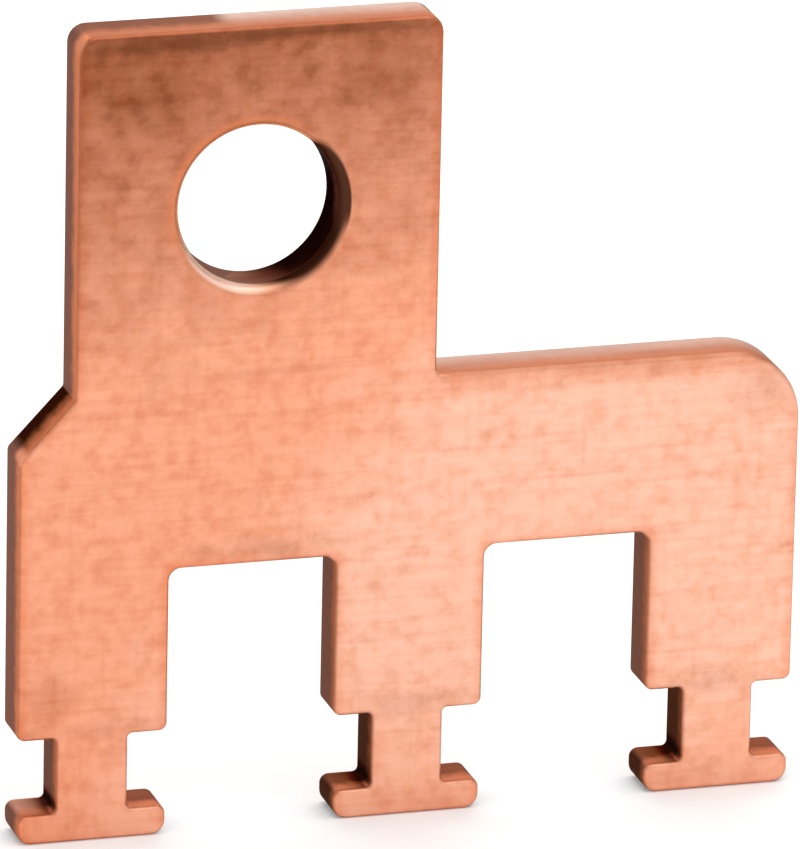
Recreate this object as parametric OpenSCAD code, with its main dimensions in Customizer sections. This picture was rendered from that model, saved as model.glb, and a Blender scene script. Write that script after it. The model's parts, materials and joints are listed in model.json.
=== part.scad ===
/* [Strip] */
// Thickness of the copper strip
strip_t = 3; // [2:0.25:5]
// Radius rolled over the front edge by the blanking punch
front_roll = 0.3; // [0.1:0.05:0.4]
// Radius left on the back edge by deburring
back_break = 0.2; // [0.1:0.05:0.4]

/* [Poles] */
// Spacing of the contactor's poles
pole_pitch = 18; // [14:0.5:24]
// Number of poles that the bar joins
poles = 3; // [2:1:4]

/* [Legs] */
// Width of each leg
leg_w = 8.5; // [7.5:0.1:10]
// Height of the gap between two legs, above their shoulders
leg_h = 9.35; // [6:0.05:16]
// Width of the neck under each leg
neck_w = 4.05; // [3:0.05:5]
// Height of the neck
neck_h = 4.35; // [3:0.05:8]
// Width of the foot that the terminal clamps
foot_w = 8.4; // [7:0.1:10]
// Height of the foot
foot_h = 1.7; // [1.6:0.1:3]

/* [Yoke] */
// Height of the yoke that joins the legs
yoke_h = 10.15; // [8:0.05:16]
// Radius of the yoke's free upper corner
yoke_r = 4.1; // [2:0.1:6]
// Height of the bevel from the palm's edge down to the first leg's edge
bevel_h = 3.3; // [2:0.1:6]

/* [Palm] */
// Width of the palm that takes the cable lug
palm_w = 20.4; // [16:0.1:22]
// Height of the palm above the yoke
palm_h = 20.5; // [17:0.1:30]
// Palm's centre line, to the right of the first leg's centre line
palm_x = 9.05; // [8:0.05:9.5]
// Bolt hole, clear of an M8 bolt
hole_d = 9; // [6:0.1:11]
// Hole centre below the palm's top edge
hole_drop = 10.2; // [8:0.1:12]
// Radius rolled over the front rim of the hole
hole_roll = 0.7; // [0.2:0.1:1]

/* [Corners] */
// Radius of the palm's upper corners
palm_r = 1; // [0.5:0.1:3]
// Radius of the inner corners at the top of the gaps
gap_r = 0.7; // [0.3:0.1:2]
// Radius of the shoulders
shoulder_r = 0.45; // [0.4:0.05:1]
// Radius of the inner corners at both ends of the necks
neck_r = 0.3; // [0.2:0.05:0.6]
// Radius of the feet's upper corners
foot_top_r = 0.5; // [0.4:0.05:0.7]
// Radius of the feet's lower corners
foot_low_r = 0.8; // [0.4:0.05:0.8]

/* [Hidden] */
$fn = 64;
copper = [0.93, 0.62, 0.47];

shoulder_z = foot_h + neck_h;
gap_z = shoulder_z + leg_h;
yoke_z = gap_z + yoke_h;
palm_z = yoke_z + palm_h;
first_x = -(poles - 1) * pole_pitch / 2;
left_x = first_x - leg_w / 2;
right_x = -left_x;
palm_left = first_x + palm_x - palm_w / 2;
palm_right = palm_left + palm_w;
hole_x = first_x + palm_x;
hole_z = palm_z - hole_drop;
// The palm's hidden lower end stops at the middle of the yoke
palm_root_z = gap_z + yoke_h / 2;
// The flat core keeps this far inside the rolled edges
core_clear = 0.1;
// The rims that carry the rolled edges lap this far into the core
rim_lap = 0.3;
core_in = max(front_roll, back_break) + core_clear;
rim_w = core_in + rim_lap;

// Corners of one leg, from its left shoulder round the foot to its right one,
// each with its radius
function leg_corners(i) =
    let (x = first_x + i * pole_pitch)
    [
        if (i > 0) [x - leg_w / 2, gap_z, gap_r],
        [x - leg_w / 2, shoulder_z, shoulder_r],
        [x - neck_w / 2, shoulder_z, neck_r],
        [x - neck_w / 2, foot_h, neck_r],
        [x - foot_w / 2, foot_h, foot_top_r],
        [x - foot_w / 2, 0, foot_low_r],
        [x + foot_w / 2, 0, foot_low_r],
        [x + foot_w / 2, foot_h, foot_top_r],
        [x + neck_w / 2, foot_h, neck_r],
        [x + neck_w / 2, shoulder_z, neck_r],
        [x + leg_w / 2, shoulder_z, shoulder_r],
        if (i < poles - 1) [x + leg_w / 2, gap_z, gap_r]
    ];

comb_corners = [
    for (i = [0 : poles - 1]) each leg_corners(i),
    [right_x, yoke_z, yoke_r],
    [left_x, yoke_z, shoulder_r]
];

palm_corners = [
    [palm_left, palm_root_z, palm_r],
    [palm_right, palm_root_z, palm_r],
    [palm_right, palm_z, palm_r],
    [palm_left, palm_z, palm_r]
];

// Geometry of an outline given as corners, counter-clockwise, each [x, y, radius]
function corner(c, i) = [c[i % len(c)].x, c[i % len(c)].y];
function radius(c, i) = c[i % len(c)].z;
function heading(c, i) =
    let (run = corner(c, i + 1) - corner(c, i))
    atan2(run.y, run.x);
function arrival(c, i) = heading(c, i + len(c) - 1);
function turn(c, i) =
    let (a = heading(c, i) - arrival(c, i))
    a > 180 ? a - 360 : a < -180 ? a + 360 : a;
function trim(c, i) = radius(c, i) * tan(abs(turn(c, i)) / 2);
function along(a) = [cos(a), sin(a)];
function inward(a) = [-sin(a), cos(a)];
function arc_start(c, i) = corner(c, i) - trim(c, i) * along(arrival(c, i));
function arc_end(c, i) = corner(c, i) + trim(c, i) * along(heading(c, i));

// The outline moved in by core_in: one point at a tight corner, two at a wide arc
function core_points(c, i) =
    let (n = inward(arrival(c, i)), m = inward(heading(c, i)))
    turn(c, i) > 0 && radius(c, i) > core_in
        ? [arc_start(c, i) + core_in * n, arc_end(c, i) + core_in * m]
        : [corner(c, i) + core_in * (n + m) / (1 + n * m)];

module quarter_disc(r) {
    intersection() {
        circle(r);
        square(2 * r);
    }
}

// Section of the strip from x = inner out to its wall, with a roll at the front
// and a broken edge at the back
module wall_section(inner, wall, roll) {
    polygon([
        [inner, 0],
        [wall - back_break, 0],
        [wall - back_break, back_break],
        [wall, back_break],
        [wall, strip_t - roll],
        [wall - roll, strip_t - roll],
        [wall - roll, strip_t],
        [inner, strip_t]
    ]);
    translate([wall - roll, strip_t - roll])
        quarter_disc(roll);
    translate([wall - back_break, back_break])
        mirror([0, 1])
            quarter_disc(back_break);
}

// The same section with its wall on the inside, for hollows
module hollow_section(wall, outer, roll) {
    translate([2 * wall, 0])
        mirror([1, 0])
            wall_section(2 * wall - outer, wall, roll);
}

module straight_rim(c, i) {
    start = arc_end(c, i);
    end = arc_start(c, i + 1);
    translate(end)
        rotate([90, 0, heading(c, i) - 90])
            linear_extrude(norm(end - start))
                wall_section(-rim_w, 0, front_roll);
}

module outer_corner(c, i) {
    r = radius(c, i);
    a = arrival(c, i);
    translate(arc_start(c, i) + r * inward(a))
        rotate(a - 90)
            rotate_extrude(angle = turn(c, i))
                wall_section(0, r, front_roll);
}

module inner_corner(c, i) {
    r = radius(c, i);
    a = arrival(c, i);
    reach = (r + core_in) / cos(turn(c, i) / 2) + rim_lap;
    translate(arc_start(c, i) - r * inward(a))
        rotate(a + 90 + turn(c, i))
            rotate_extrude(angle = -turn(c, i))
                hollow_section(r, reach, front_roll);
}

// A flat blank with rolled edges, lying on its back face
module blank(c) {
    last = len(c) - 1;
    linear_extrude(strip_t)
        polygon([for (i = [0 : last]) each core_points(c, i)]);
    for (i = [0 : last]) {
        straight_rim(c, i);
        if (turn(c, i) > 0) outer_corner(c, i);
        else inner_corner(c, i);
    }
}

// A wide blank whose one rolled edge runs along the bevel
module bevel_blank() {
    run = [palm_left - left_x, bevel_h];
    span = palm_z + right_x - left_x;
    translate([palm_left, yoke_z])
        rotate([90, 0, atan2(run.y, run.x) + 90])
            linear_extrude(2 * span, center = true)
                wall_section(-span, 0, front_roll);
}

module comb() {
    intersection() {
        blank(comb_corners);
        bevel_blank();
    }
}

// Palm with its bolt hole, whose rim is a ring of its own section
module palm() {
    bore_r = hole_d / 2;
    seat_r = bore_r + max(hole_roll, back_break) + core_clear;
    difference() {
        blank(palm_corners);
        translate([hole_x, hole_z, -strip_t])
            cylinder(h = 3 * strip_t, r = seat_r);
    }
    translate([hole_x, hole_z])
        rotate_extrude()
            hollow_section(bore_r, seat_r + rim_lap, hole_roll);
}

module busbar() {
    color(copper)
        rotate([90, 0, 0])
            translate([0, 0, -strip_t / 2]) {
                comb();
                palm();
            }
}

busbar();
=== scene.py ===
# %% [markdown]
# # A busbar for three contactor poles
#
# The real object is one piece of bare copper strip, 3 mm thick. A press blanks it in one stroke, and
# nothing is added afterwards, so this lesson makes one piece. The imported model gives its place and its
# size. The piece is modelled again here by hand, because a mesh of our own has even rolled edges that
# catch the light cleanly.

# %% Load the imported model
import json
import math

import bmesh
import bpy
from mathutils import Matrix, Vector


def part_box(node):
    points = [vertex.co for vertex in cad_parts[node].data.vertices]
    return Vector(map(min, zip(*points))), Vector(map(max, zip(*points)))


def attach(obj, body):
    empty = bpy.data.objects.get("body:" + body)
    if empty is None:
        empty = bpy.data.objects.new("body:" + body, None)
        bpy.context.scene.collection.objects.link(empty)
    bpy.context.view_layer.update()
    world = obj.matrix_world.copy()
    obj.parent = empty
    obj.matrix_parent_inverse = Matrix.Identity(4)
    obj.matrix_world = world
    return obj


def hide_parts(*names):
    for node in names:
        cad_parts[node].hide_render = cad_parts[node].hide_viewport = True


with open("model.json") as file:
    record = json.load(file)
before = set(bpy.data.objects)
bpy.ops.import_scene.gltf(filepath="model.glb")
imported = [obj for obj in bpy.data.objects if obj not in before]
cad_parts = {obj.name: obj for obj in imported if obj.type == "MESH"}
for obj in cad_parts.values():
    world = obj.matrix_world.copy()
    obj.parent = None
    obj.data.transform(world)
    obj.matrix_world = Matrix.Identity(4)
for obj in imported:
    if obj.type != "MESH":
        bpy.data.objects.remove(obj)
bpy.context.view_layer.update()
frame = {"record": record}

low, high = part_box("busbar")
print("busbar, lowest and highest corner:", low, high)

# %% [markdown]
# ## The outline
#
# The press cuts along one closed outline: three legs that stand on T-shaped feet, the yoke that joins them,
# and the palm above its left half. It could be built from boxes and united, but then every seam would need
# cleaning. Drawing the outline once, corner by corner, as the die maker does, gives one clean face. The box
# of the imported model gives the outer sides, and the other sizes are named in millimetres.

# %% Sizes of the strip
MM = 0.001
LEG_W, NECK_W, FOOT_W = 8.5 * MM, 4.05 * MM, 8.4 * MM
FOOT_H, NECK_H, LEG_H = 1.7 * MM, 4.35 * MM, 9.35 * MM
YOKE_H, BEVEL_H, PALM_W = 10.15 * MM, 3.3 * MM, 20.4 * MM
BOLT_HOLE = Vector(frame["record"]["mounts"][0]["pos_m"])

shoulder_z = low.z + FOOT_H + NECK_H
gap_z = shoulder_z + LEG_H
yoke_z = gap_z + YOKE_H
palm_left, palm_right = BOLT_HOLE.x - PALM_W / 2, BOLT_HOLE.x + PALM_W / 2
pole_x = [low.x + LEG_W / 2, (low.x + high.x) / 2, high.x - LEG_W / 2]
print("pole centres:", [round(x / MM, 2) for x in pole_x], "mm")

# %% [markdown]
# Each corner is a place and a radius, because no punch has a perfectly sharp corner. The three feet are
# alike, so a function gives the corners of one leg, from its left shoulder round the foot to its right
# shoulder.

# %% Corners of the outline
SHOULDER_R, NECK_R, FOOT_TOP_R, FOOT_LOW_R = 0.45 * MM, 0.3 * MM, 0.5 * MM, 0.8 * MM
GAP_R, YOKE_R, PALM_R, PALM_ROOT_R = 0.7 * MM, 4.1 * MM, 1.0 * MM, 0.3 * MM


def leg_corners(x):
    half_leg, half_neck, half_foot = LEG_W / 2, NECK_W / 2, FOOT_W / 2
    left_side = [
        (x - half_leg, shoulder_z, SHOULDER_R),
        (x - half_neck, shoulder_z, NECK_R),
        (x - half_neck, low.z + FOOT_H, NECK_R),
        (x - half_foot, low.z + FOOT_H, FOOT_TOP_R),
        (x - half_foot, low.z, FOOT_LOW_R),
    ]
    right_side = [(2 * x - side, z, radius) for side, z, radius in reversed(left_side)]
    return left_side + right_side


corners = []
for number, x in enumerate(pole_x):
    if number > 0:
        corners.append((x - LEG_W / 2, gap_z, GAP_R))
    corners += leg_corners(x)
    if number < len(pole_x) - 1:
        corners.append((x + LEG_W / 2, gap_z, GAP_R))
corners += [
    (high.x, yoke_z, YOKE_R),
    (palm_right, yoke_z, PALM_ROOT_R),
    (palm_right, high.z, PALM_R),
    (palm_left, high.z, PALM_R),
    (palm_left, yoke_z, PALM_ROOT_R),
    (low.x, yoke_z - BEVEL_H, SHOULDER_R),
]
print(len(corners), "corners in the outline")

# %% [markdown]
# To draw the outline, a small plane is merged to one point, the point is moved to the first corner, and it
# is extruded from corner to corner. The last step fills the closed chain with a face. Everything is
# deselected first, because an operator acts on all that is selected.

# %% Draw the outline
def trace(name, points):
    """Draw a chain of edges through the points, and stay in edit mode."""
    bpy.ops.object.select_all(action="DESELECT")
    bpy.ops.mesh.primitive_plane_add(size=MM)
    drawn = bpy.context.object
    drawn.name = drawn.data.name = name
    bpy.ops.object.mode_set(mode="EDIT")
    bpy.ops.mesh.select_mode(type="VERT")
    bpy.ops.mesh.select_all(action="SELECT")
    bpy.ops.mesh.merge(type="CENTER")
    bpy.ops.transform.translate(value=points[0])
    for start, end in zip(points, points[1:]):
        bpy.ops.mesh.extrude_vertices_move(TRANSFORM_OT_translate={"value": end - start})
    bpy.ops.mesh.select_all(action="SELECT")
    return drawn


places = [Vector((x, low.y, z)) for x, z, radius in corners]
busbar = trace("copper_busbar", places)
bpy.ops.mesh.edge_face_add()
print("outline drawn through", len(places), "points and filled")

# %% [markdown]
# ## Rounded corners
#
# A vertex bevel turns a corner into an arc. Its width is how far the arc reaches along each side, which is
# the radius times the tangent of half the turn, so the blunt corners of the oblique edge need less than the
# square ones. Corners with the same reach are bevelled together, in more steps where the arc is large.

# %% Round the corners
NEAR = 0.001 * MM
FEWEST_STEPS, STEPS_PER_MM = 6, 6


def pick(part, kind, test):
    """Select what passes the test in the piece being edited, and count it."""
    bpy.ops.mesh.select_mode(type=kind)
    bpy.ops.mesh.select_all(action="DESELECT")
    mesh = bmesh.from_edit_mesh(part.data)
    items = {"VERT": mesh.verts, "EDGE": mesh.edges}[kind]
    chosen = [item for item in items if test(item)]
    for item in chosen:
        item.select_set(True)
    mesh.select_flush_mode()
    bmesh.update_edit_mesh(part.data)
    return len(chosen)


reaches = {}
for number, point in enumerate(places):
    before, after = places[number - 1], places[(number + 1) % len(places)]
    turn = (point - before).angle(after - point)
    reach = corners[number][2] * math.tan(turn / 2)
    reaches.setdefault(round(reach / MM, 4), []).append(point)

for reach, alike in reaches.items():
    count = pick(busbar, "VERT", lambda v: any((v.co - point).length < NEAR for point in alike))
    steps = max(FEWEST_STEPS, round(STEPS_PER_MM * reach))
    bpy.ops.mesh.bevel(offset=reach * MM, segments=steps, affect="VERTICES", clamp_overlap=False)
    print(count, "corners bevelled by", reach, "mm")

# %% [markdown]
# ## Thickness and rolled edges
#
# The face is extruded through the strip. The punch then leaves its mark: where it enters, at the front, it
# drags the surface over into a soft roll, and where it breaks through, at the back, the edge is only
# dulled. Both are edge bevels with a round profile, wider at the front than at the back.

# %% Thicken the strip and roll its edges
FRONT_ROLL, BACK_BREAK = 0.3 * MM, 0.2 * MM
FRONT_STEPS, BACK_STEPS = 6, 4

bpy.ops.mesh.select_all(action="SELECT")
bpy.ops.mesh.extrude_region_move(TRANSFORM_OT_translate={"value": (0, high.y - low.y, 0)})
bpy.ops.mesh.select_all(action="SELECT")
bpy.ops.mesh.normals_make_consistent(inside=False)
for side_y, width, steps in ((low.y, FRONT_ROLL, FRONT_STEPS), (high.y, BACK_BREAK, BACK_STEPS)):
    count = pick(busbar, "EDGE", lambda e: all(abs(v.co.y - side_y) < NEAR for v in e.verts))
    bpy.ops.mesh.bevel(offset=width, segments=steps, affect="EDGES", clamp_overlap=False)
    print(count, "edges rolled by", round(width / MM, 2), "mm")
bpy.ops.object.mode_set(mode="OBJECT")

# %% [markdown]
# ## The bolt hole
#
# The hole has a broad rolled rim at the front. It could be cut as a plain cylinder and bevelled, but a
# cutter with the finished profile gives the rim in one cut: its outline is drawn from the axis at the back
# to the axis at the front, flared by a quarter round at each face, and spun once about the axis.

# %% Draw and spin the hole's cutter
BORE_R, HOLE_ROLL, CLEAR = 4.5 * MM, 0.7 * MM, 1.0 * MM
RIM_STEPS, SPIN_STEPS = 10, 128


def quarter(steps):
    return [math.pi / 2 * step / steps for step in range(steps + 1)]


profile = [(0, high.y + CLEAR), (BORE_R + BACK_BREAK, high.y + CLEAR)]
for angle in quarter(BACK_STEPS):
    r = BORE_R + BACK_BREAK * (1 - math.sin(angle))
    profile.append((r, high.y - BACK_BREAK * (1 - math.cos(angle))))
for angle in quarter(RIM_STEPS):
    r = BORE_R + HOLE_ROLL * (1 - math.cos(angle))
    profile.append((r, low.y + HOLE_ROLL * (1 - math.sin(angle))))
profile += [(BORE_R + HOLE_ROLL, low.y - CLEAR), (0, low.y - CLEAR)]
cutter = trace("hole_cutter", [Vector((BOLT_HOLE.x + r, y, BOLT_HOLE.z)) for r, y in profile])
axis_point = (BOLT_HOLE.x, 0, BOLT_HOLE.z)
bpy.ops.mesh.spin(steps=SPIN_STEPS, angle=math.tau, center=axis_point, axis=(0, 1, 0))
bpy.ops.mesh.select_all(action="SELECT")
bpy.ops.mesh.remove_doubles(threshold=NEAR)
bpy.ops.mesh.normals_make_consistent(inside=False)
bpy.ops.object.mode_set(mode="OBJECT")
print("cutter spun with", len(cutter.data.polygons), "faces")

# %% [markdown]
# A Boolean modifier takes the cutter away from the strip. It is applied at once, and the cutter is deleted.

# %% Cut the hole
def finish_with(part, kind, **settings):
    """Add a modifier to the piece, set it and apply it."""
    bpy.ops.object.select_all(action="DESELECT")
    part.select_set(True)
    bpy.context.view_layer.objects.active = part
    bpy.ops.object.modifier_add(type=kind)
    modifier = part.modifiers[-1]
    for name, value in settings.items():
        setattr(modifier, name, value)
    bpy.ops.object.modifier_apply(modifier=modifier.name)


finish_with(busbar, "BOOLEAN", operation="DIFFERENCE", solver="EXACT", object=cutter)
bpy.data.objects.remove(cutter)
print("busbar has", len(busbar.data.polygons), "faces after the cut")

# %% [markdown]
# ## Smooth shading
#
# Flat faces and small rolls meet without a crease on the real strip. Smooth shading alone would bend the
# light on the flat faces near their edges, so a weighted normal modifier lets the large faces decide.

# %% Shade the piece and give it its place in the model
CREASE, FACE_WEIGHT = math.radians(40), 80

bpy.ops.object.shade_smooth_by_angle(angle=CREASE)
finish_with(busbar, "WEIGHTED_NORMAL", weight=FACE_WEIGHT, keep_sharp=True)
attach(busbar, "root")
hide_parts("busbar")
solid = bmesh.new()
solid.from_mesh(busbar.data)
open_edges = sum(len(edge.link_faces) != 2 for edge in solid.edges)
print("volume", round(solid.calc_volume() / MM**3, 1), "mm3, open edges", open_edges)
solid.free()

# %% [markdown]
# ## Bare copper
#
# The strip is bare rolled copper that has been handled. Its faces have fine streaks along the rolling
# direction, a brown film that thickens upwards and is partly painted shade, small spots and a dark smudge
# of tarnish under the palm's top edge. The sheared walls are rougher, and darker partly by painted shade.
# One material tells them apart by the direction that the surface faces, which the Normal output of Texture
# Coordinate gives in the piece's own frame.

# %% Start the copper material
def start_material(name, part):
    """Give the piece a new empty material, and return the node tree to fill."""
    made = bpy.data.materials.new(name)
    made.use_nodes = True
    made.node_tree.nodes.clear()
    part.data.materials.clear()
    part.data.materials.append(made)
    return made.node_tree


def node(kind, inputs=(), **settings):
    """Add a node to the tree being filled. Inputs are (name or number, value or socket) pairs."""
    made = tree.nodes.new("ShaderNode" + kind)
    for name, value in settings.items():
        setattr(made, name, value)
    for name, value in inputs:
        if isinstance(value, bpy.types.NodeSocket):
            tree.links.new(value, made.inputs[name])
        else:
            made.inputs[name].default_value = value
    return made


def math_node(operation, first, second=0.0):
    return node("Math", [(0, first), (1, second)], operation=operation).outputs[0]


tree = start_material("bare_copper", busbar)
coordinates = node("TexCoord")
place, facing = coordinates.outputs["Object"], coordinates.outputs["Normal"]
x_place, y_place, z_place = node("SeparateXYZ", [("Vector", place)]).outputs
x_facing, y_facing, z_facing = node("SeparateXYZ", [("Vector", facing)]).outputs
flatness = math_node("ABSOLUTE", y_facing)
print("copper material started with", len(tree.nodes), "nodes")

# %% [markdown]
# Three nodes do most of the work. Map Range turns a measure into a mask, Mix lays a colour on through a
# mask, and Noise makes masks uneven. They could be wired by hand in the shader editor, but a short function
# for each keeps the later cells readable.

# %% Make helpers for masks and colours
def vector_node(operation, first, second=(0.0, 0.0, 0.0), output="Vector"):
    return node("VectorMath", [(0, first), (1, second)], operation=operation).outputs[output]


def ramp(value, start, end, low_value=0.0, high_value=1.0, kind="SMOOTHSTEP"):
    """Turn a value between start and end into one between low_value and high_value."""
    made = node(
        "MapRange",
        [("Value", value), ("From Min", start), ("From Max", end),
         ("To Min", low_value), ("To Max", high_value)],
        interpolation_type=kind,
    )
    return made.outputs["Result"]


def tint(amount, first, second, blend="MIX"):
    """Blend two colours, each a socket or a linear colour."""
    made = node("Mix", data_type="RGBA", clamp_factor=True, blend_type=blend)
    for name, value in (("Factor_Float", amount), ("A_Color", first), ("B_Color", second)):
        socket = next(s for s in made.inputs if s.identifier == name)
        if isinstance(value, bpy.types.NodeSocket):
            tree.links.new(value, socket)
        else:
            socket.default_value = value if isinstance(value, float) else (*value, 1.0)
    return next(s for s in made.outputs if s.identifier == "Result_Color")


def noise(scale, detail=3.0, roughness=0.5):
    """Cloudy noise; the scale is features per metre along X, Y and Z."""
    stretched = node("Mapping", [("Vector", place), ("Scale", scale)])
    made = node(
        "TexNoise",
        [("Vector", stretched.outputs[0]), ("Scale", 1.0), ("Detail", detail), ("Roughness", roughness)],
    )
    return made.outputs["Fac"]


print("helpers for masks and colours made")

# %% [markdown]
# ### Clean and filmed copper
#
# Clean copper is pink. Air and hands lay a thin film on it, which turns it orange and then brown. On this
# strip the copper is pink on the right half and lower down, orange to the left and brown up the palm. This
# is partly the film and partly painted shade, darker towards the upper left, and painted light, paler
# towards the lower right. The copper is also a little darker towards the feet. A dot product with a
# direction measures how far a point lies along such a slope, and clouds of noise make the change uneven.

# %% Colour the rolled faces
COPPER_PINK, COPPER_ORANGE, COPPER_BROWN = (0.95, 0.53, 0.39), (0.9, 0.39, 0.24), (0.405, 0.132, 0.063)
DARKER_TOWARDS_FEET = (0.95, 0.8, 0.7)
DRIFT = 2.5


def slope(x, z, start, end):
    """How far a point lies along a slope in X and Z: 0 at the start and 1 at the end, in millimetres."""
    reach = vector_node("DOT_PRODUCT", place, (x / MM, 0.0, z / MM), "Value")
    return ramp(math_node("ADD", reach, cloud_drift), start, end, kind="LINEAR")


clouds = noise((420, 420, 460), detail=4.0, roughness=0.6)
cloud_drift = ramp(clouds, 0.25, 0.75, -DRIFT, DRIFT)
# Partly painted light and shade: orange to the left, pinker to the right and lower down
pale_film_and_light = tint(slope(x=1.0, z=-0.8, start=-24.0, end=-16.0), COPPER_ORANGE, COPPER_PINK)
pale_film_and_light = tint(slope(x=0.0, z=-1.0, start=-8.0, end=0.0), pale_film_and_light, DARKER_TOWARDS_FEET, "MULTIPLY")
# Partly painted shade: browner up the palm and towards the left
browning_and_shade = slope(x=-0.3, z=1.0, start=30.0, end=49.3)
film = tint(browning_and_shade, pale_film_and_light, COPPER_BROWN)
print("film laid on;", len(tree.nodes), "nodes so far")

# %% [markdown]
# ### Mottling, streaks and spots
#
# Finer patterns lie over the film: mottling about half a millimetre wide, streaks from the rolls that are
# long in X and thin in Z, fainter streaks across them, and soft spots. Together they are one pale shade
# that multiplies the colour under it, so that it shows on pink and on brown copper alike. They read Object
# coordinates, so that they stay in place when the piece moves.

# %% Add the fine patterns
UNTOUCHED, OCHRE, RUST = (1.0, 1.0, 1.0), (0.9, 0.785, 0.705), (0.93, 0.85, 0.79)
STREAK_STRENGTH, CROSS_STRENGTH = 0.5, 0.4

mottle = noise((1100, 1100, 1250), detail=3.0, roughness=0.55)
streaks = noise((130, 900, 2600), detail=3.0, roughness=0.6)
cross_streaks = noise((2300, 900, 190), detail=2.0)
spots = noise((620, 620, 700), detail=2.0, roughness=0.4)
shade = tint(ramp(mottle, 0.36, 0.8), UNTOUCHED, OCHRE)
shade = tint(ramp(streaks, 0.4, 0.85, 0.0, STREAK_STRENGTH), shade, OCHRE, "MULTIPLY")
shade = tint(ramp(cross_streaks, 0.45, 0.9, 0.0, CROSS_STRENGTH), shade, OCHRE, "MULTIPLY")
shade = tint(ramp(spots, 0.6, 0.8), shade, RUST, "MULTIPLY")
face_colour = tint(1.0, film, shade, "MULTIPLY")
print("fine patterns added;", len(tree.nodes), "nodes so far")

# %% [markdown]
# ### Tarnish
#
# Copper darkens where it was touched and where fluid dried. The darkest smudge lies under the palm's top
# edge, and paler brown patches run down from it, lie over the first gap, along the yoke's upper edge and at
# the shoulders. They could be painted by hand. Here each is a soft ellipse, broken up by noise, which is
# easy to move. Two long thin ones are scratches.

# %% Lay on the brown patches
PATCH_TINT, STAIN_STRENGTH = (0.5, 0.37, 0.27), 0.45
# Centre in X and Z and half sizes, all in millimetres, then the strength
PATCHES = [
    (-15.8, 42.6, 2.6, 3.4, 0.3), (-2.4, 42.6, 3.6, 3.2, 0.35), (-8.9, 16.2, 4.6, 1.0, 0.45),
    (-20.9, 8.2, 2.0, 2.6, 0.3), (20.0, 23.8, 2.6, 1.8, 0.2), (12.0, 25.4, 11.0, 1.2, 0.25),
    (-8.5, 26.4, 4.8, 0.25, 0.2), (9.75, 20.6, 0.25, 3.2, 0.15),
]
SHOULDER_PATCHES = [(x / MM, 6.4, 4.4, 1.0, 0.25) for x in pole_x]
BLOT_EDGE, RAGGED_EDGE = 1.3, (-0.5, 0.6)

ragged = noise((430, 430, 620), detail=5.0, roughness=0.62)
stain_noise = noise((850, 850, 1000), detail=4.0, roughness=0.6)


def blot(x, z, half_w, half_h):
    """A soft ellipse on the faces, in millimetres, with a ragged outline."""
    offset = vector_node("SUBTRACT", place, (x * MM, 0.0, z * MM))
    scaled = vector_node("MULTIPLY", offset, (1 / (half_w * MM), 0.0, 1 / (half_h * MM)))
    reach = vector_node("LENGTH", scaled, output="Value")
    broken = math_node("ADD", reach, ramp(ragged, 0.2, 0.8, *RAGGED_EDGE))
    return ramp(broken, BLOT_EDGE, 0.0)


stains = math_node("MULTIPLY", browning_and_shade, ramp(stain_noise, 0.45, 0.68, 0.0, STAIN_STRENGTH))
face_colour = tint(stains, face_colour, PATCH_TINT, "MULTIPLY")
for x, z, half_w, half_h, strength in PATCHES + SHOULDER_PATCHES:
    patch = math_node("MULTIPLY", blot(x, z, half_w, half_h), strength)
    face_colour = tint(patch, face_colour, PATCH_TINT, "MULTIPLY")
print(len(PATCHES + SHOULDER_PATCHES), "patches laid on;", len(tree.nodes), "nodes so far")

# %% [markdown]
# The dark smudge under the palm's top edge is long and thin. Two ellipses follow the edge better than one,
# and the greater of their masks joins them without a seam.

# %% Lay on the dark smudge
SMUDGE, SMUDGE_STRENGTH = (0.17, 0.05, 0.02), 0.8
SMUDGE_LEFT, SMUDGE_RIGHT = (-14.2, 45.45, 5.5, 0.75), (-7.0, 45.6, 7.5, 0.45)

smudge = math_node("MAXIMUM", blot(*SMUDGE_LEFT), blot(*SMUDGE_RIGHT))
face_colour = tint(math_node("MULTIPLY", smudge, SMUDGE_STRENGTH), face_colour, SMUDGE)
print("smudge laid on;", len(tree.nodes), "nodes so far")

# %% [markdown]
# ### Film along the edges
#
# Fingers hold the strip by its edges, so an orange film runs along them. It is less than a millimetre wide,
# and wider along the top of the arm, the yoke's free right part. The legs repeat at the pitch of the poles.
# Wrapping X at that pitch finds the sides of all the legs and the tops of the gaps at once.

# %% Film the edges
EDGE_FILM, FILM_REACH, ARM_FILM_REACH = (0.93, 0.75, 0.64), 0.8 * MM, 1.8 * MM
THIN_TO_FULL = (0.6, 1.0)


def all_of(first, *others):
    """Join masks by multiplying them: 1 only where all of them are."""
    for other in others:
        first = math_node("MULTIPLY", first, other)
    return first


def any_of(first, *others):
    """Join masks by taking the greatest."""
    for other in others:
        first = math_node("MAXIMUM", first, other)
    return first


pitch = pole_x[1] - pole_x[0]
from_pole = node("Math", [(0, x_place), (1, pitch / 2), (2, -pitch / 2)], operation="WRAP").outputs[0]
beside_legs = ramp(math_node("ABSOLUTE", from_pole), LEG_W / 2 - FILM_REACH, LEG_W / 2)
beside_legs = all_of(beside_legs, ramp(z_place, gap_z + FILM_REACH, gap_z))
outer_sides = ramp(math_node("ABSOLUTE", x_place), high.x - FILM_REACH, high.x)
arm_top = ramp(z_place, yoke_z - ARM_FILM_REACH, yoke_z - FILM_REACH / 2)
arm_top = all_of(arm_top, ramp(x_place, palm_right, palm_right + MM))
palm_sides = math_node("ABSOLUTE", math_node("SUBTRACT", x_place, BOLT_HOLE.x))
palm_sides = ramp(palm_sides, PALM_W / 2 - FILM_REACH, PALM_W / 2)
palm_sides = all_of(palm_sides, ramp(z_place, yoke_z - MM, yoke_z + MM))
edges = any_of(beside_legs, outer_sides, arm_top, palm_sides)
edges = math_node("MULTIPLY", edges, ramp(clouds, 0.3, 0.7, *THIN_TO_FULL))
face_colour = tint(edges, face_colour, EDGE_FILM, "MULTIPLY")
print("faces coloured;", len(tree.nodes), "nodes so far")
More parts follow.
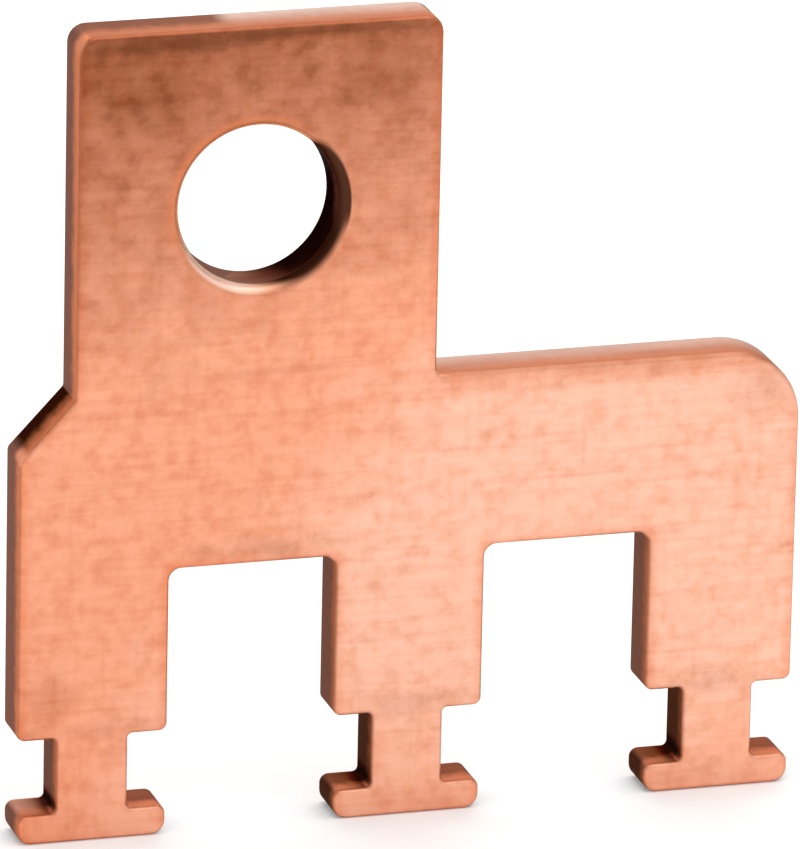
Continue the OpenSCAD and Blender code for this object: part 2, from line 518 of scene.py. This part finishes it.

# %% [markdown]
# ### Sheared walls
#
# A punched wall has two zones. Behind the rolled front edge the metal was burnished by the punch and is
# reddish; further back it tore, so it is rough, purplish and dark. Their darkness is partly painted shade:
# the walls of the gaps are painted darker than the outer walls, and the upper edges of the palm and of the
# yoke, which face up, carry a pale painted sheen of light from above and behind and are the palest, apart
# from a stain at the palm's upper left.

# %% Choose the colours of the two zones
# The gap walls' colours are darker than the outer ones: painted shade between the legs
BURNISHED, TORN = (0.44, 0.148, 0.075), (0.195, 0.092, 0.071)
BURNISHED_OUTSIDE, TORN_OUTSIDE = (0.68, 0.24, 0.125), (0.245, 0.115, 0.09)
BURNISHED_UPPER, STAINED = (0.42, 0.165, 0.1), (0.2, 0.09, 0.067)
# Pale colours of the upper edges: a painted sheen of light from above and behind
LIT_YOKE_TOP, LIT_PALM_TOP = (0.47, 0.33, 0.285), (0.53, 0.42, 0.375)
# Where each mask starts and where it is full: places, then how much the wall faces upwards
OUTER_LEGS, ABOVE_GAPS = (17.5 * MM, 19 * MM), (19 * MM, 21 * MM)
ROUND_END, UPPER_WALLS = (15 * MM, 17 * MM), (20 * MM, 22 * MM)
STAIN_END, PALM_TOP, UP_THE_PALM = (-10.0 * MM, -11.4 * MM), (44 * MM, 45 * MM), (30 * MM, 40 * MM)
LEANING_UP, FACING_UP = (0.1, 0.6), (0.85, 0.97)

outside = any_of(ramp(math_node("ABSOLUTE", x_place), *OUTER_LEGS), ramp(z_place, *ABOVE_GAPS))
round_end = all_of(ramp(z_facing, *LEANING_UP), ramp(x_place, *ROUND_END))
upper = all_of(any_of(ramp(z_facing, *FACING_UP), round_end), ramp(z_place, *UPPER_WALLS))
stain = all_of(ramp(x_place, *STAIN_END), ramp(z_place, *PALM_TOP))
lit_top_colour = tint(ramp(z_place, *UP_THE_PALM), LIT_YOKE_TOP, LIT_PALM_TOP)
front_zone = tint(upper, tint(outside, BURNISHED, BURNISHED_OUTSIDE), BURNISHED_UPPER)
back_zone = tint(upper, tint(outside, TORN, TORN_OUTSIDE), tint(stain, lit_top_colour, STAINED))
print("wall colours chosen;", len(tree.nodes), "nodes so far")

# %% [markdown]
# ### Painted black shade
#
# The necks, the oblique edge and the lower right of the hole are painted nearly black, above all in their
# torn zone: painted shade in recesses and on walls that face away from the light. The height finds the
# necks and the feet. The tops of the feet come first, because they get browns of painted shade of their
# own, under the shoulders of the legs, and the outer part of the first one is the palest.

# %% Colour the tops of the feet
# Painted shade on the tops of the feet, under the shoulders of the legs
TOP_FRONT, TOP_BACK, FIRST_TOP = (0.45, 0.15, 0.085), (0.19, 0.068, 0.046), (0.55, 0.27, 0.2)
BELOW_LEGS, PAST_FIRST_NECK, ON_TOP = (6.6 * MM, 5.8 * MM), (-20.2 * MM, -19.6 * MM), (0.5, 0.9)

below_legs = ramp(z_place, *BELOW_LEGS)
foot_tops = all_of(ramp(z_facing, *ON_TOP), below_legs)
front_zone = tint(foot_tops, front_zone, TOP_FRONT)
back_zone = tint(foot_tops, back_zone, tint(ramp(x_place, *PAST_FIRST_NECK), FIRST_TOP, TOP_BACK))
print("tops of the feet coloured;", len(tree.nodes), "nodes so far")

# %% [markdown]
# The walls of the necks are painted black as shade in the notches between the feet and the legs, except the
# first one's outer wall, which is paler. The tops of the feet get black painted shade mostly close to the
# neck, on its left side, and so does the inner corner there. In front the black is thinner, above all on
# the tops.

# %% Paint black shade on the necks
SHADE_BLACK, NECK_FRONT = (0.03, 0.01, 0.006), (0.25, 0.08, 0.04)
TOP_LEFT, TOP_RIGHT = (-4.2 * MM, -2.0 * MM), (2.0 * MM, 1.5 * MM)
CORNER_LEFT, CORNER_RIGHT = (-3.0 * MM, -2.2 * MM), (-1.0 * MM, -1.8 * MM)
CORNER_HEIGHT = (2.8 * MM, 2.0 * MM)
# How black it is where a mask starts and where it is full
NECK_BLACK, TOP_LEFT_BLACK, TOP_RIGHT_BLACK = (0.15, 0.82), (0.3, 0.8), (0.05, 1.0)
CORNER_BLACK, TOP_FRONT_BLACK = (0.0, 0.9), (1.0, 0.25)


def between(amount, first, second):
    """A value between two others: the first where the amount is 0, the second where it is 1."""
    return node("Mix", [(0, amount), (2, first), (3, second)]).outputs[0]


wall_black = ramp(x_place, *PAST_FIRST_NECK, *NECK_BLACK)
top_black = ramp(from_pole, *TOP_LEFT, *TOP_LEFT_BLACK)
top_black = all_of(top_black, ramp(from_pole, *TOP_RIGHT, *TOP_RIGHT_BLACK))
inner_corner = all_of(ramp(from_pole, *CORNER_LEFT), ramp(from_pole, *CORNER_RIGHT))
inner_corner = all_of(inner_corner, ramp(z_place, *CORNER_HEIGHT, *CORNER_BLACK))
black_neck = any_of(all_of(below_legs, between(foot_tops, wall_black, top_black)), inner_corner)
black_front = math_node("MULTIPLY", black_neck, ramp(foot_tops, 0.0, 1.0, *TOP_FRONT_BLACK))
front_zone = tint(black_front, front_zone, NECK_FRONT)
back_zone = tint(black_neck, back_zone, SHADE_BLACK)
print("necks blackened;", len(tree.nodes), "nodes so far")

# %% [markdown]
# The way that the wall faces finds the oblique edge, and its height keeps out other walls that face the
# same way. It is orange in front and painted black behind, as painted shade, except at its lower end.

# %% Paint black shade on the oblique edge
OBLIQUE_FRONT = (0.64, 0.2, 0.095)
LEANS_LEFT, LEANS_UP = (-0.3, -0.6), (0.3, 0.6)
ABOVE_LEGS, BELOW_TOP = (16 * MM, 18 * MM), (40 * MM, 38 * MM)
LOWER_END = (low.x + 0.1 * MM, low.x + 0.7 * MM)

oblique = all_of(ramp(x_facing, *LEANS_LEFT), ramp(z_facing, *LEANS_UP))
oblique = all_of(oblique, ramp(z_place, *ABOVE_LEGS), ramp(z_place, *BELOW_TOP))
front_zone = tint(oblique, front_zone, OBLIQUE_FRONT)
back_zone = tint(all_of(oblique, ramp(x_place, *LOWER_END)), back_zone, SHADE_BLACK)
print("oblique edge blackened;", len(tree.nodes), "nodes so far")

# %% [markdown]
# The distance from its axis finds the hole. Its wall is painted from pale brown at the left to dark brown at
# the right, as painted shade where it faces away from the light, and the lower right is painted black shade
# through the whole strip.

# %% Paint shade in the hole
HOLE_LEFT, HOLE_RIGHT = (0.31, 0.19, 0.15), (0.17, 0.068, 0.047)
HOLE_REACH = (5.6 * MM, 5.4 * MM)
# The wall's right side faces left, and its lower side faces up
LEFT_TO_RIGHT, AT_THE_RIGHT, BELOW = (0.4, -0.5), (-0.05, -0.75), (0.0, 0.4)

axis_offset = vector_node("MULTIPLY", vector_node("SUBTRACT", place, BOLT_HOLE), (1.0, 0.0, 1.0))
from_axis = vector_node("LENGTH", axis_offset, output="Value")
in_hole = ramp(from_axis, *HOLE_REACH)
right_side = ramp(x_facing, *LEFT_TO_RIGHT)
lower_right = all_of(ramp(z_facing, *BELOW), ramp(x_facing, *AT_THE_RIGHT))
hole_front = tint(lower_right, tint(right_side, HOLE_LEFT, HOLE_RIGHT), SHADE_BLACK)
front_zone = tint(in_hole, front_zone, hole_front)
back_zone = tint(in_hole, back_zone, tint(right_side, HOLE_LEFT, SHADE_BLACK))
print("hole blackened;", len(tree.nodes), "nodes so far")

# %% [markdown]
# The depth along Y tells the two zones apart, with a ragged line between them. The burnished zone is deeper
# towards the palm. The line is blurred on the upper edges with their painted sheen, and the oblique edge
# turns to its painted black shade gradually.

# %% Colour the walls
RAGGED_LINE, LINE_BLUR, FOOT_SHIFT = 0.2 * MM, 0.6 * MM, 0.4 * MM
LEGS_TO_TOP, LINE_DEPTH = (8 * MM, 46 * MM), (-0.9 * MM, -0.2 * MM)
LIT_TOP_DEPTH, OBLIQUE_DEPTH = (-1.3 * MM, 1.6 * MM), (-1.4 * MM, 0.4 * MM)

wall_noise = noise((1500, 1200, 1500), detail=3.0, roughness=0.6)
depth = math_node("ADD", y_place, ramp(wall_noise, 0.25, 0.75, -RAGGED_LINE, RAGGED_LINE))
tear_line = ramp(z_place, *LEGS_TO_TOP, *LINE_DEPTH, "LINEAR")
tear_line = math_node("ADD", tear_line, math_node("MULTIPLY", foot_tops, FOOT_SHIFT))
sharp_zone = ramp(math_node("SUBTRACT", depth, tear_line), -LINE_BLUR, LINE_BLUR)
lit_top_part = all_of(upper, ramp(stain, 1.0, 0.0))
zone = between(lit_top_part, sharp_zone, ramp(depth, *LIT_TOP_DEPTH))
zone = between(oblique, zone, ramp(depth, *OBLIQUE_DEPTH))
wall_colour = tint(zone, front_zone, back_zone)
print("walls coloured;", len(tree.nodes), "nodes so far")

# %% [markdown]
# ### Rolled edges
#
# The rolled edges are painted a darker shade of the copper beside them, as painted shade mostly on their
# upper and left sides, and above all along the top of the arm, where it dims the highlight of the overhead
# box. They have less of the brown film, as handling rubs it off edges.

# %% Colour the rolled edges
# Painted shade on the rolls: darker on their upper and left sides, and on the arm's top
ROLL_UPPER, ROLL_LOWER, ARM_ROLL = (0.62, 0.5, 0.43), (0.88, 0.8, 0.76), (0.88, 0.82, 0.75)
ROLL_BROWN_SHARE, LOWER_TO_UPPER = 0.45, (-0.2, 0.3)

upper_left = vector_node("DOT_PRODUCT", facing, (-0.7, 0.0, 0.7), "Value")
roll_shade = tint(ramp(upper_left, *LOWER_TO_UPPER), ROLL_LOWER, ROLL_UPPER)
roll_colour = tint(math_node("MULTIPLY", browning_and_shade, ROLL_BROWN_SHARE), pale_film_and_light, COPPER_BROWN)
roll_colour = tint(1.0, roll_colour, roll_shade, "MULTIPLY")
roll_colour = tint(1.0, roll_colour, shade, "MULTIPLY")
roll_colour = tint(arm_top, roll_colour, ARM_ROLL, "MULTIPLY")
print("rolled edges coloured;", len(tree.nodes), "nodes so far")

# %% [markdown]
# ### The hole's rim
#
# The hole's rim is more varied. It has dark painted shade at the right, which turns softly from black to
# orange at the lower right, a pale pink painted highlight at the lower left, and is a clear orange
# elsewhere, which spreads a little onto the face at the upper left. The way that the surface faces and the
# offset from the hole's axis tell its sides apart.

# %% Find the sides of the rim
BELOW_AXIS, DARK_TAPER, RIM_EDGE = (0.5 * MM, 2.2 * MM), (2.8 * MM, -0.5 * MM), (5.3 * MM, 5.2 * MM)
TAPER, SHARP_END, SOFT_END, OFF_THE_WALL = (0.0, 0.4), (-0.02, -0.2), (-0.03, -0.8), (0.05, 0.25)
HIGHLIGHT_ACROSS, HIGHLIGHT_BELOW = (2.4 * MM, -1.6 * MM), (0.15, 0.45)
SPREAD_ALONG, SPREAD_REACH = (0.5 * MM, 3.5 * MM), (5.5 * MM, 4.9 * MM)
SPREAD_STRENGTH, ON_THE_FACE = (0.0, 0.6), (0.6, 0.95)

across = vector_node("DOT_PRODUCT", axis_offset, (1.0, 0.0, 0.0), "Value")
below_axis = vector_node("DOT_PRODUCT", axis_offset, (0.0, 0.0, -1.0), "Value")
lower_side = ramp(below_axis, *BELOW_AXIS)
right_facing = vector_node("DOT_PRODUCT", facing, (1.0, 0.0, -0.7), "Value")
right_facing = math_node("ADD", right_facing, ramp(across, *DARK_TAPER, *TAPER))
dark_side = between(lower_side, ramp(right_facing, *SHARP_END), ramp(right_facing, *SOFT_END))
dark_side = all_of(dark_side, ramp(from_axis, *RIM_EDGE), ramp(flatness, *OFF_THE_WALL))
highlight_side = all_of(ramp(across, *HIGHLIGHT_ACROSS), ramp(z_facing, *HIGHLIGHT_BELOW))
spread = vector_node("DOT_PRODUCT", axis_offset, (-0.7, 0.0, 0.7), "Value")
spread = all_of(ramp(spread, *SPREAD_ALONG, *SPREAD_STRENGTH), ramp(from_axis, *SPREAD_REACH))
spread = all_of(spread, ramp(flatness, *ON_THE_FACE))
print("sides of the rim found;", len(tree.nodes), "nodes so far")

# %% [markdown]
# ### Faces, rolls and walls together
#
# Flatness is 1 on the faces, 0 on the walls and in between on the rolls, so ramps of it join the three
# colours. Along the top of the arm the roll keeps its painted darker shade nearly up to the face. The painted
# shade on the rim's dark side and the orange beside it go on last.

# %% Join the colours
RIM_ORANGE, RIM_SPREAD, RIM_HIGHLIGHT = (0.97, 0.42, 0.22), (0.74, 0.23, 0.1), (0.96, 0.64, 0.51)
RIM_DARK, RIM_BLACK = (0.08, 0.029, 0.016), (0.04, 0.012, 0.006)
# Flatness where the wall's colour ends, and where the roll's colour starts and stops fading, first on most
# edges and then on the arm's top
WALL_TO_ROLL, ROLL_START, ROLL_END = (0.1, 0.5), (0.5, 0.74), (1.0, 0.95)

rim_colour = tint(highlight_side, RIM_ORANGE, RIM_HIGHLIGHT)
roll_colour = tint(in_hole, roll_colour, rim_colour)
roll_to_face = ramp(flatness, between(arm_top, *ROLL_START), between(arm_top, *ROLL_END))
base_colour = tint(roll_to_face, roll_colour, face_colour)
# Painted highlight on the rim's lower left
base_colour = tint(all_of(in_hole, highlight_side), base_colour, rim_colour)
base_colour = tint(ramp(flatness, *WALL_TO_ROLL), wall_colour, base_colour)
# Painted shade on the rim's dark side
base_colour = tint(dark_side, base_colour, tint(lower_side, RIM_DARK, RIM_BLACK))
base_colour = tint(spread, base_colour, RIM_SPREAD)
print("colours joined;", len(tree.nodes), "nodes so far")

# %% [markdown]
# ### Painted highlights on two corners
#
# Two corners that stick out get a painted highlight: the one below the oblique edge and the palm's upper
# left one. Each is a soft bright spot on the roll and on the wall behind it.

# %% Paint highlights on two corners
# Centre in X and Z and half size, all in millimetres, then the strength
CORNER_HIGHLIGHTS = [
    (low.x / MM + 0.1, (yoke_z - BEVEL_H) / MM + 0.2, 0.45, 0.9),
    (palm_left / MM + 0.1, high.z / MM - 0.5, 0.45, 0.5),
]
HIGHLIGHT_DEPTH, OFF_THE_FACE = (0.2 * MM, -0.7 * MM), (0.9, 0.5)

on_edge = all_of(ramp(y_place, *HIGHLIGHT_DEPTH), ramp(flatness, *OFF_THE_FACE))
for x, z, half, strength in CORNER_HIGHLIGHTS:
    painted_highlight = all_of(blot(x, z, half, half), on_edge)
    base_colour = tint(math_node("MULTIPLY", painted_highlight, strength), base_colour, COPPER_ORANGE)
print(len(CORNER_HIGHLIGHTS), "corners worn;", len(tree.nodes), "nodes so far")

# %% [markdown]
# ### Relief and gloss
#
# The streaks are real scratches, so they also tilt the surface a little and spread the gloss. Walls are
# rougher than faces. The constant numbers go straight onto the shader's own sockets. The specular tint
# darkens a metal where it is seen at a low angle, as a film does, and much more in the hole and in the feet's
# inner corners, where it is painted shade on the reflections.

# %% Finish the shader
FILM_GRAZING, HOLLOW_SHADE_GRAZING = (0.5, 0.42, 0.38), (0.08, 0.05, 0.05)
STREAK_RELIEF, CROSS_RELIEF, CLOUD_RELIEF = 0.6, 0.3, 0.8
BUMP_STRENGTH, BUMP_HEIGHT = 0.25, 0.012 * MM
WALL_TO_FACE_ROUGHNESS, STREAK_ROUGHNESS = (0.5, 0.37), (-0.04, 0.08)

relief = math_node("MULTIPLY", streaks, STREAK_RELIEF)
relief = math_node("ADD", relief, math_node("MULTIPLY", clouds, CLOUD_RELIEF))
relief = math_node("ADD", relief, math_node("MULTIPLY", cross_streaks, CROSS_RELIEF))
bumps = node("Bump", [("Strength", BUMP_STRENGTH), ("Distance", BUMP_HEIGHT), ("Height", relief)])
gloss = ramp(flatness, 0.35, 0.99, *WALL_TO_FACE_ROUGHNESS)
gloss = math_node("ADD", gloss, ramp(streaks, 0.3, 0.8, *STREAK_ROUGHNESS))
hollow_shade = all_of(any_of(in_hole, inner_corner), ramp(flatness, 0.6, 0.3))
grazing = tint(hollow_shade, FILM_GRAZING, HOLLOW_SHADE_GRAZING)
shader = node(
    "BsdfPrincipled",
    [("Base Color", base_colour), ("Metallic", 1.0), ("Roughness", gloss), ("Normal", bumps.outputs[0]),
     ("Specular Tint", grazing)],
)
node("OutputMaterial", [("Surface", shader.outputs[0])])
print("copper finished with", len(tree.nodes), "nodes")

# %% [markdown]
# ## Floor
#
# A plain pale floor stands in for the white sweep of a product photograph. The camera and the metal see it
# a little whiter than the lamps alone make it, and it keeps the piece's soft shadow.

# %% Lay the floor
FLOOR_SIZE, FLOOR_WHITE, FLOOR_LIFT = 6.0, (0.82, 0.82, 0.82, 1.0), 0.13

bpy.ops.object.select_all(action="DESELECT")
bpy.ops.mesh.primitive_plane_add(size=FLOOR_SIZE, location=(0, 0, low.z))
floor = bpy.context.object
floor.name = "studio_floor"
tree = start_material("white_sweep", floor)
seen = node("LightPath")
direct = any_of(*[seen.outputs[f"Is {kind} Ray"] for kind in ("Camera", "Glossy", "Transmission")])
lift = node("Emission", [("Strength", math_node("MULTIPLY", direct, FLOOR_LIFT))])
paint = node("BsdfDiffuse", [("Color", FLOOR_WHITE)])
both = node("AddShader", [(0, paint.outputs[0]), (1, lift.outputs[0])])
node("OutputMaterial", [("Surface", both.outputs[0])])
print("floor laid at height", floor.location.z)

# %% [markdown]
# ## Light
#
# Soft boxes light a small metal part best, because metal shows what is around it. One hangs overhead, a
# second one behind lights the upper walls, and the bright room gives the rest.

# %% Hang the soft boxes
ROOM_WHITE, ROOM_LIGHT = (1.0, 1.0, 1.0, 1.0), 0.93

room = bpy.data.worlds.new("room")
bpy.context.scene.world = room
room.use_nodes = True
background = room.node_tree.nodes["Background"]
background.inputs["Color"].default_value = ROOM_WHITE
background.inputs["Strength"].default_value = ROOM_LIGHT


def soft_box(name, position, aim, width, height, radiance):
    """A rectangular lamp whose surface has the given brightness."""
    lamp = bpy.data.lights.new(name, "AREA")
    lamp.shape, lamp.size, lamp.size_y = "RECTANGLE", width, height
    lamp.energy = radiance * math.pi * width * height
    box = bpy.data.objects.new(name, lamp)
    bpy.context.scene.collection.objects.link(box)
    box.location = position
    box.rotation_euler = (Vector(aim) - Vector(position)).to_track_quat("-Z", "Y").to_euler()
    box.visible_camera = False
    print(name, "gives", round(lamp.energy, 3), "W")


soft_box(
    "overhead_box", position=(0.12, -0.10, 0.50), aim=(0.12, -0.10, 0.0), width=0.5, height=0.6, radiance=1.08
)
soft_box("back_box", position=(0.12, 0.45, 0.24), aim=(low + high) / 2, width=0.5, height=0.3, radiance=2.0)

# %% [markdown]
# ## Camera
#
# The photograph looks slightly down on the part from its left, through a long lens, with a small tilt.

# %% Set up the camera
AZIMUTH, ELEVATION, TILT = math.radians(-16.822), math.radians(18.672), math.radians(1.229)
DISTANCE, LOOK_AT = 613.574 * MM, Vector((-0.367, 0.0, 22.29)) * MM
SENSOR_WIDTH, LENS_LENGTH = 36.0, 474.5
NEAREST, FARTHEST = 0.01, 20.0

back = Vector((
    math.sin(AZIMUTH) * math.cos(ELEVATION), -math.cos(AZIMUTH) * math.cos(ELEVATION), math.sin(ELEVATION)
))
level = Vector((0, 0, 1)).cross(back).normalized()
upright = back.cross(level)
right = level * math.cos(TILT) + upright * math.sin(TILT)
up = upright * math.cos(TILT) - level * math.sin(TILT)
lens = bpy.data.cameras.new("camera")
lens.sensor_width, lens.lens = SENSOR_WIDTH, LENS_LENGTH
lens.clip_start, lens.clip_end = NEAREST, FARTHEST
camera = bpy.data.objects.new("camera", lens)
bpy.context.scene.collection.objects.link(camera)
direction = Matrix((right, up, back)).transposed().to_4x4()
camera.matrix_world = Matrix.Translation(LOOK_AT + back * DISTANCE) @ direction
bpy.context.scene.camera = camera
bpy.context.scene.view_settings.view_transform = "Standard"
print("camera at", camera.location)
